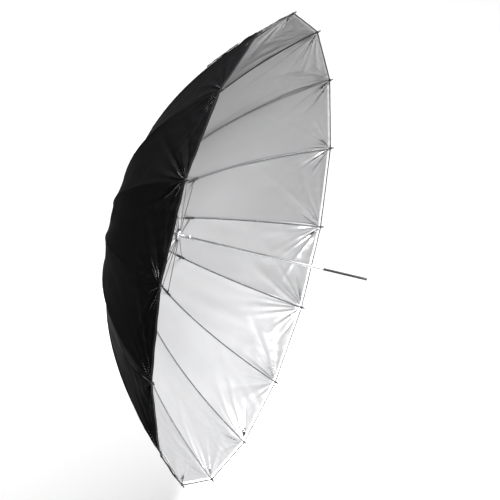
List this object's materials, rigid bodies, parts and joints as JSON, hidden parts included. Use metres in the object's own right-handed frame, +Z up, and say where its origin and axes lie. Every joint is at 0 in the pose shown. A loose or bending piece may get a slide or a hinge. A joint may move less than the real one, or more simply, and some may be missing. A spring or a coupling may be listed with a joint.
{
  "type": "umbrella reflector",
  "caption": "Shallow round cloth bowl, black outside and silver inside, on folding ribs and a tube shaft, that bounces a studio light's beam.",
  "frame": {"origin": "on the shaft's axis, where a light's umbrella clamp grips the tube", "axes": "+X along the shaft, out of the bowl's mouth; +Z up, through one rib"},
  "size_m": [0.8353, 1.5352, 1.5352],
  "materials": {
    "shaft": "satin drawn tube",
    "shaft_end_cap": "matt moulded",
    "runner_stop": "bright pin",
    "crown": "matt moulded",
    "crown_wire": "bright wire",
    "top_cap": "satin moulded",
    "centre_patch": "woven",
    "canopy": "black outside, silver inside",
    "rib": "glass fibre rod",
    "stretcher": "plated rod",
    "runner": "nickel-plated",
    "runner_wire": "bright wire",
    "catch_spring": "spring strip",
    "tie_strap": "woven tape"
  },
  "bodies": {
    "shaft": {"shaft": "shaft", "shaft_end_cap": "shaft_end_cap", "runner_stop": "runner_stop", "crown": "crown", "crown_wire": "crown_wire", "top_cap": "top_cap", "centre_patch": "centre_patch", "canopy": "canopy"},
    "rib_inner_01": {"rib_inner_01": "rib"},
    "rib_outer_01": {"rib_outer_01": "rib", "tie_strap": "tie_strap"},
    "stretcher_01": {"stretcher_01": "stretcher"},
    "rib_inner_02": {"rib_inner_02": "rib"},
    "rib_outer_02": {"rib_outer_02": "rib"},
    "stretcher_02": {"stretcher_02": "stretcher"},
    "rib_inner_03": {"rib_inner_03": "rib"},
    "rib_outer_03": {"rib_outer_03": "rib"},
    "stretcher_03": {"stretcher_03": "stretcher"},
    "rib_inner_04": {"rib_inner_04": "rib"},
    "rib_outer_04": {"rib_outer_04": "rib"},
    "stretcher_04": {"stretcher_04": "stretcher"},
    "rib_inner_05": {"rib_inner_05": "rib"},
    "rib_outer_05": {"rib_outer_05": "rib"},
    "stretcher_05": {"stretcher_05": "stretcher"},
    "rib_inner_06": {"rib_inner_06": "rib"},
    "rib_outer_06": {"rib_outer_06": "rib"},
    "stretcher_06": {"stretcher_06": "stretcher"},
    "rib_inner_07": {"rib_inner_07": "rib"},
    "rib_outer_07": {"rib_outer_07": "rib"},
    "stretcher_07": {"stretcher_07": "stretcher"},
    "rib_inner_08": {"rib_inner_08": "rib"},
    "rib_outer_08": {"rib_outer_08": "rib"},
    "stretcher_08": {"stretcher_08": "stretcher"},
    "rib_inner_09": {"rib_inner_09": "rib"},
    "rib_outer_09": {"rib_outer_09": "rib"},
    "stretcher_09": {"stretcher_09": "stretcher"},
    "rib_inner_10": {"rib_inner_10": "rib"},
    "rib_outer_10": {"rib_outer_10": "rib"},
    "stretcher_10": {"stretcher_10": "stretcher"},
    "rib_inner_11": {"rib_inner_11": "rib"},
    "rib_outer_11": {"rib_outer_11": "rib"},
    "stretcher_11": {"stretcher_11": "stretcher"},
    "rib_inner_12": {"rib_inner_12": "rib"},
    "rib_outer_12": {"rib_outer_12": "rib"},
    "stretcher_12": {"stretcher_12": "stretcher"},
    "rib_inner_13": {"rib_inner_13": "rib"},
    "rib_outer_13": {"rib_outer_13": "rib"},
    "stretcher_13": {"stretcher_13": "stretcher"},
    "rib_inner_14": {"rib_inner_14": "rib"},
    "rib_outer_14": {"rib_outer_14": "rib"},
    "stretcher_14": {"stretcher_14": "stretcher"},
    "rib_inner_15": {"rib_inner_15": "rib"},
    "rib_outer_15": {"rib_outer_15": "rib"},
    "stretcher_15": {"stretcher_15": "stretcher"},
    "rib_inner_16": {"rib_inner_16": "rib"},
    "rib_outer_16": {"rib_outer_16": "rib"},
    "stretcher_16": {"stretcher_16": "stretcher"},
    "runner": {"runner": "runner", "runner_wire": "runner_wire"},
    "catch_spring": {"catch_spring": "catch_spring"}
  },
  "joints": [
    {"name": "canopy_fold", "type": "hinge", "parent": "shaft", "child": "rib_inner_01", "pos_m": [-0.655, 0, 0.0125], "axis": [0, 1, 0], "range_deg": [0, 69.5], "deforming": ["canopy", "catch_spring"]},
    {"name": "rib_flex_01", "type": "hinge", "parent": "rib_inner_01", "child": "rib_outer_01", "pos_m": [-0.55963, 0, 0.36798], "axis": [0, 1, 0], "range_deg": [-19.8, 0]},
    {"name": "stretcher_fold_01", "type": "hinge", "parent": "rib_inner_01", "child": "stretcher_01", "pos_m": [-0.5633, 0, 0.34498], "axis": [0, 1, 0], "range_deg": [-139.5, 0]},
    {"name": "rib_fold_02", "type": "hinge", "parent": "shaft", "child": "rib_inner_02", "pos_m": [-0.655, 0.00478, 0.01155], "axis": [0, 0.9239, -0.3827], "range_deg": [0, 69.5]},
    {"name": "rib_flex_02", "type": "hinge", "parent": "rib_inner_02", "child": "rib_outer_02", "pos_m": [-0.55963, 0.14082, 0.33997], "axis": [0, 0.9239, -0.3827], "range_deg": [-19.8, 0]},
    {"name": "stretcher_fold_02", "type": "hinge", "parent": "rib_inner_02", "child": "stretcher_02", "pos_m": [-0.5633, 0.13202, 0.31872], "axis": [0, 0.9239, -0.3827], "range_deg": [-139.5, 0]},
    {"name": "rib_fold_03", "type": "hinge", "parent": "shaft", "child": "rib_inner_03", "pos_m": [-0.655, 0.00884, 0.00884], "axis": [0, 0.7071, -0.7071], "range_deg": [0, 69.5]},
    {"name": "rib_flex_03", "type": "hinge", "parent": "rib_inner_03", "child": "rib_outer_03", "pos_m": [-0.55963, 0.2602, 0.2602], "axis": [0, 0.7071, -0.7071], "range_deg": [-19.8, 0]},
    {"name": "stretcher_fold_03", "type": "hinge", "parent": "rib_inner_03", "child": "stretcher_03", "pos_m": [-0.5633, 0.24394, 0.24394], "axis": [0, 0.7071, -0.7071], "range_deg": [-139.5, 0]},
    {"name": "rib_fold_04", "type": "hinge", "parent": "shaft", "child": "rib_inner_04", "pos_m": [-0.655, 0.01155, 0.00478], "axis": [0, 0.3827, -0.9239], "range_deg": [0, 69.5]},
    {"name": "rib_flex_04", "type": "hinge", "parent": "rib_inner_04", "child": "rib_outer_04", "pos_m": [-0.55963, 0.33997, 0.14082], "axis": [0, 0.3827, -0.9239], "range_deg": [-19.8, 0]},
    {"name": "stretcher_fold_04", "type": "hinge", "parent": "rib_inner_04", "child": "stretcher_04", "pos_m": [-0.5633, 0.31872, 0.13202], "axis": [0, 0.3827, -0.9239], "range_deg": [-139.5, 0]},
    {"name": "rib_fold_05", "type": "hinge", "parent": "shaft", "child": "rib_inner_05", "pos_m": [-0.655, 0.0125, 0], "axis": [0, 0, -1], "range_deg": [0, 69.5]},
    {"name": "rib_flex_05", "type": "hinge", "parent": "rib_inner_05", "child": "rib_outer_05", "pos_m": [-0.55963, 0.36798, 0], "axis": [0, 0, -1], "range_deg": [-19.8, 0]},
    {"name": "stretcher_fold_05", "type": "hinge", "parent": "rib_inner_05", "child": "stretcher_05", "pos_m": [-0.5633, 0.34498, 0], "axis": [0, 0, -1], "range_deg": [-139.5, 0]},
    {"name": "rib_fold_06", "type": "hinge", "parent": "shaft", "child": "rib_inner_06", "pos_m": [-0.655, 0.01155, -0.00478], "axis": [0, -0.3827, -0.9239], "range_deg": [0, 69.5]},
    {"name": "rib_flex_06", "type": "hinge", "parent": "rib_inner_06", "child": "rib_outer_06", "pos_m": [-0.55963, 0.33997, -0.14082], "axis": [0, -0.3827, -0.9239], "range_deg": [-19.8, 0]},
    {"name": "stretcher_fold_06", "type": "hinge", "parent": "rib_inner_06", "child": "stretcher_06", "pos_m": [-0.5633, 0.31872, -0.13202], "axis": [0, -0.3827, -0.9239], "range_deg": [-139.5, 0]},
    {"name": "rib_fold_07", "type": "hinge", "parent": "shaft", "child": "rib_inner_07", "pos_m": [-0.655, 0.00884, -0.00884], "axis": [0, -0.7071, -0.7071], "range_deg": [0, 69.5]},
    {"name": "rib_flex_07", "type": "hinge", "parent": "rib_inner_07", "child": "rib_outer_07", "pos_m": [-0.55963, 0.2602, -0.2602], "axis": [0, -0.7071, -0.7071], "range_deg": [-19.8, 0]},
    {"name": "stretcher_fold_07", "type": "hinge", "parent": "rib_inner_07", "child": "stretcher_07", "pos_m": [-0.5633, 0.24394, -0.24394], "axis": [0, -0.7071, -0.7071], "range_deg": [-139.5, 0]},
    {"name": "rib_fold_08", "type": "hinge", "parent": "shaft", "child": "rib_inner_08", "pos_m": [-0.655, 0.00478, -0.01155], "axis": [0, -0.9239, -0.3827], "range_deg": [0, 69.5]},
    {"name": "rib_flex_08", "type": "hinge", "parent": "rib_inner_08", "child": "rib_outer_08", "pos_m": [-0.55963, 0.14082, -0.33997], "axis": [0, -0.9239, -0.3827], "range_deg": [-19.8, 0]},
    {"name": "stretcher_fold_08", "type": "hinge", "parent": "rib_inner_08", "child": "stretcher_08", "pos_m": [-0.5633, 0.13202, -0.31872], "axis": [0, -0.9239, -0.3827], "range_deg": [-139.5, 0]},
    {"name": "rib_fold_09", "type": "hinge", "parent": "shaft", "child": "rib_inner_09", "pos_m": [-0.655, 0, -0.0125], "axis": [0, -1, 0], "range_deg": [0, 69.5]},
    {"name": "rib_flex_09", "type": "hinge", "parent": "rib_inner_09", "child": "rib_outer_09", "pos_m": [-0.55963, 0, -0.36798], "axis": [0, -1, 0], "range_deg": [-19.8, 0]},
    {"name": "stretcher_fold_09", "type": "hinge", "parent": "rib_inner_09", "child": "stretcher_09", "pos_m": [-0.5633, 0, -0.34498], "axis": [0, -1, 0], "range_deg": [-139.5, 0]},
    {"name": "rib_fold_10", "type": "hinge", "parent": "shaft", "child": "rib_inner_10", "pos_m": [-0.655, -0.00478, -0.01155], "axis": [0, -0.9239, 0.3827], "range_deg": [0, 69.5]},
    {"name": "rib_flex_10", "type": "hinge", "parent": "rib_inner_10", "child": "rib_outer_10", "pos_m": [-0.55963, -0.14082, -0.33997], "axis": [0, -0.9239, 0.3827], "range_deg": [-19.8, 0]},
    {"name": "stretcher_fold_10", "type": "hinge", "parent": "rib_inner_10", "child": "stretcher_10", "pos_m": [-0.5633, -0.13202, -0.31872], "axis": [0, -0.9239, 0.3827], "range_deg": [-139.5, 0]},
    {"name": "rib_fold_11", "type": "hinge", "parent": "shaft", "child": "rib_inner_11", "pos_m": [-0.655, -0.00884, -0.00884], "axis": [0, -0.7071, 0.7071], "range_deg": [0, 69.5]},
    {"name": "rib_flex_11", "type": "hinge", "parent": "rib_inner_11", "child": "rib_outer_11", "pos_m": [-0.55963, -0.2602, -0.2602], "axis": [0, -0.7071, 0.7071], "range_deg": [-19.8, 0]},
    {"name": "stretcher_fold_11", "type": "hinge", "parent": "rib_inner_11", "child": "stretcher_11", "pos_m": [-0.5633, -0.24394, -0.24394], "axis": [0, -0.7071, 0.7071], "range_deg": [-139.5, 0]},
    {"name": "rib_fold_12", "type": "hinge", "parent": "shaft", "child": "rib_inner_12", "pos_m": [-0.655, -0.01155, -0.00478], "axis": [0, -0.3827, 0.9239], "range_deg": [0, 69.5]},
    {"name": "rib_flex_12", "type": "hinge", "parent": "rib_inner_12", "child": "rib_outer_12", "pos_m": [-0.55963, -0.33997, -0.14082], "axis": [0, -0.3827, 0.9239], "range_deg": [-19.8, 0]},
    {"name": "stretcher_fold_12", "type": "hinge", "parent": "rib_inner_12", "child": "stretcher_12", "pos_m": [-0.5633, -0.31872, -0.13202], "axis": [0, -0.3827, 0.9239], "range_deg": [-139.5, 0]},
    {"name": "rib_fold_13", "type": "hinge", "parent": "shaft", "child": "rib_inner_13", "pos_m": [-0.655, -0.0125, 0], "axis": [0, 0, 1], "range_deg": [0, 69.5]},
    {"name": "rib_flex_13", "type": "hinge", "parent": "rib_inner_13", "child": "rib_outer_13", "pos_m": [-0.55963, -0.36798, 0], "axis": [0, 0, 1], "range_deg": [-19.8, 0]},
    {"name": "stretcher_fold_13", "type": "hinge", "parent": "rib_inner_13", "child": "stretcher_13", "pos_m": [-0.5633, -0.34498, 0], "axis": [0, 0, 1], "range_deg": [-139.5, 0]},
    {"name": "rib_fold_14", "type": "hinge", "parent": "shaft", "child": "rib_inner_14", "pos_m": [-0.655, -0.01155, 0.00478], "axis": [0, 0.3827, 0.9239], "range_deg": [0, 69.5]},
    {"name": "rib_flex_14", "type": "hinge", "parent": "rib_inner_14", "child": "rib_outer_14", "pos_m": [-0.55963, -0.33997, 0.14082], "axis": [0, 0.3827, 0.9239], "range_deg": [-19.8, 0]},
    {"name": "stretcher_fold_14", "type": "hinge", "parent": "rib_inner_14", "child": "stretcher_14", "pos_m": [-0.5633, -0.31872, 0.13202], "axis": [0, 0.3827, 0.9239], "range_deg": [-139.5, 0]},
    {"name": "rib_fold_15", "type": "hinge", "parent": "shaft", "child": "rib_inner_15", "pos_m": [-0.655, -0.00884, 0.00884], "axis": [0, 0.7071, 0.7071], "range_deg": [0, 69.5]},
    {"name": "rib_flex_15", "type": "hinge", "parent": "rib_inner_15", "child": "rib_outer_15", "pos_m": [-0.55963, -0.2602, 0.2602], "axis": [0, 0.7071, 0.7071], "range_deg": [-19.8, 0]},
    {"name": "stretcher_fold_15", "type": "hinge", "parent": "rib_inner_15", "child": "stretcher_15", "pos_m": [-0.5633, -0.24394, 0.24394], "axis": [0, 0.7071, 0.7071], "range_deg": [-139.5, 0]},
    {"name": "rib_fold_16", "type": "hinge", "parent": "shaft", "child": "rib_inner_16", "pos_m": [-0.655, -0.00478, 0.01155], "axis": [0, 0.9239, 0.3827], "range_deg": [0, 69.5]},
    {"name": "rib_flex_16", "type": "hinge", "parent": "rib_inner_16", "child": "rib_outer_16", "pos_m": [-0.55963, -0.14082, 0.33997], "axis": [0, 0.9239, 0.3827], "range_deg": [-19.8, 0]},
    {"name": "stretcher_fold_16", "type": "hinge", "parent": "rib_inner_16", "child": "stretcher_16", "pos_m": [-0.5633, -0.13202, 0.31872], "axis": [0, 0.9239, 0.3827], "range_deg": [-139.5, 0]},
    {"name": "runner_hinge", "type": "hinge", "parent": "stretcher_01", "child": "runner", "pos_m": [-0.47161, 0, 0.0125], "axis": [0, 1, 0], "range_deg": [0, 70]},
    {"name": "catch_press", "type": "hinge", "parent": "shaft", "child": "catch_spring", "pos_m": [-0.40821, 0, -0.002], "axis": [0, 1, 0], "range_deg": [0, 9.5], "stiffness_Nm_per_rad": 0.02}
  ],
  "couplings": [
    {"joint": "rib_flex_01", "follows": "canopy_fold", "ratio": -0.2774},
    {"joint": "stretcher_fold_01", "follows": "canopy_fold", "ratio": -2},
    {"joint": "rib_fold_02", "follows": "canopy_fold", "ratio": 1},
    {"joint": "rib_flex_02", "follows": "canopy_fold", "ratio": -0.2774},
    {"joint": "stretcher_fold_02", "follows": "canopy_fold", "ratio": -2},
    {"joint": "rib_fold_03", "follows": "canopy_fold", "ratio": 1},
    {"joint": "rib_flex_03", "follows": "canopy_fold", "ratio": -0.2774},
    {"joint": "stretcher_fold_03", "follows": "canopy_fold", "ratio": -2},
    {"joint": "rib_fold_04", "follows": "canopy_fold", "ratio": 1},
    {"joint": "rib_flex_04", "follows": "canopy_fold", "ratio": -0.2774},
    {"joint": "stretcher_fold_04", "follows": "canopy_fold", "ratio": -2},
    {"joint": "rib_fold_05", "follows": "canopy_fold", "ratio": 1},
    {"joint": "rib_flex_05", "follows": "canopy_fold", "ratio": -0.2774},
    {"joint": "stretcher_fold_05", "follows": "canopy_fold", "ratio": -2},
    {"joint": "rib_fold_06", "follows": "canopy_fold", "ratio": 1},
    {"joint": "rib_flex_06", "follows": "canopy_fold", "ratio": -0.2774},
    {"joint": "stretcher_fold_06", "follows": "canopy_fold", "ratio": -2},
    {"joint": "rib_fold_07", "follows": "canopy_fold", "ratio": 1},
    {"joint": "rib_flex_07", "follows": "canopy_fold", "ratio": -0.2774},
    {"joint": "stretcher_fold_07", "follows": "canopy_fold", "ratio": -2},
    {"joint": "rib_fold_08", "follows": "canopy_fold", "ratio": 1},
    {"joint": "rib_flex_08", "follows": "canopy_fold", "ratio": -0.2774},
    {"joint": "stretcher_fold_08", "follows": "canopy_fold", "ratio": -2},
    {"joint": "rib_fold_09", "follows": "canopy_fold", "ratio": 1},
    {"joint": "rib_flex_09", "follows": "canopy_fold", "ratio": -0.2774},
    {"joint": "stretcher_fold_09", "follows": "canopy_fold", "ratio": -2},
    {"joint": "rib_fold_10", "follows": "canopy_fold", "ratio": 1},
    {"joint": "rib_flex_10", "follows": "canopy_fold", "ratio": -0.2774},
    {"joint": "stretcher_fold_10", "follows": "canopy_fold", "ratio": -2},
    {"joint": "rib_fold_11", "follows": "canopy_fold", "ratio": 1},
    {"joint": "rib_flex_11", "follows": "canopy_fold", "ratio": -0.2774},
    {"joint": "stretcher_fold_11", "follows": "canopy_fold", "ratio": -2},
    {"joint": "rib_fold_12", "follows": "canopy_fold", "ratio": 1},
    {"joint": "rib_flex_12", "follows": "canopy_fold", "ratio": -0.2774},
    {"joint": "stretcher_fold_12", "follows": "canopy_fold", "ratio": -2},
    {"joint": "rib_fold_13", "follows": "canopy_fold", "ratio": 1},
    {"joint": "rib_flex_13", "follows": "canopy_fold", "ratio": -0.2774},
    {"joint": "stretcher_fold_13", "follows": "canopy_fold", "ratio": -2},
    {"joint": "rib_fold_14", "follows": "canopy_fold", "ratio": 1},
    {"joint": "rib_flex_14", "follows": "canopy_fold", "ratio": -0.2774},
    {"joint": "stretcher_fold_14", "follows": "canopy_fold", "ratio": -2},
    {"joint": "rib_fold_15", "follows": "canopy_fold", "ratio": 1},
    {"joint": "rib_flex_15", "follows": "canopy_fold", "ratio": -0.2774},
    {"joint": "stretcher_fold_15", "follows": "canopy_fold", "ratio": -2},
    {"joint": "rib_fold_16", "follows": "canopy_fold", "ratio": 1},
    {"joint": "rib_flex_16", "follows": "canopy_fold", "ratio": -0.2774},
    {"joint": "stretcher_fold_16", "follows": "canopy_fold", "ratio": -2},
    {"joint": "runner_hinge", "follows": "canopy_fold", "ratio": 1}
  ]
}
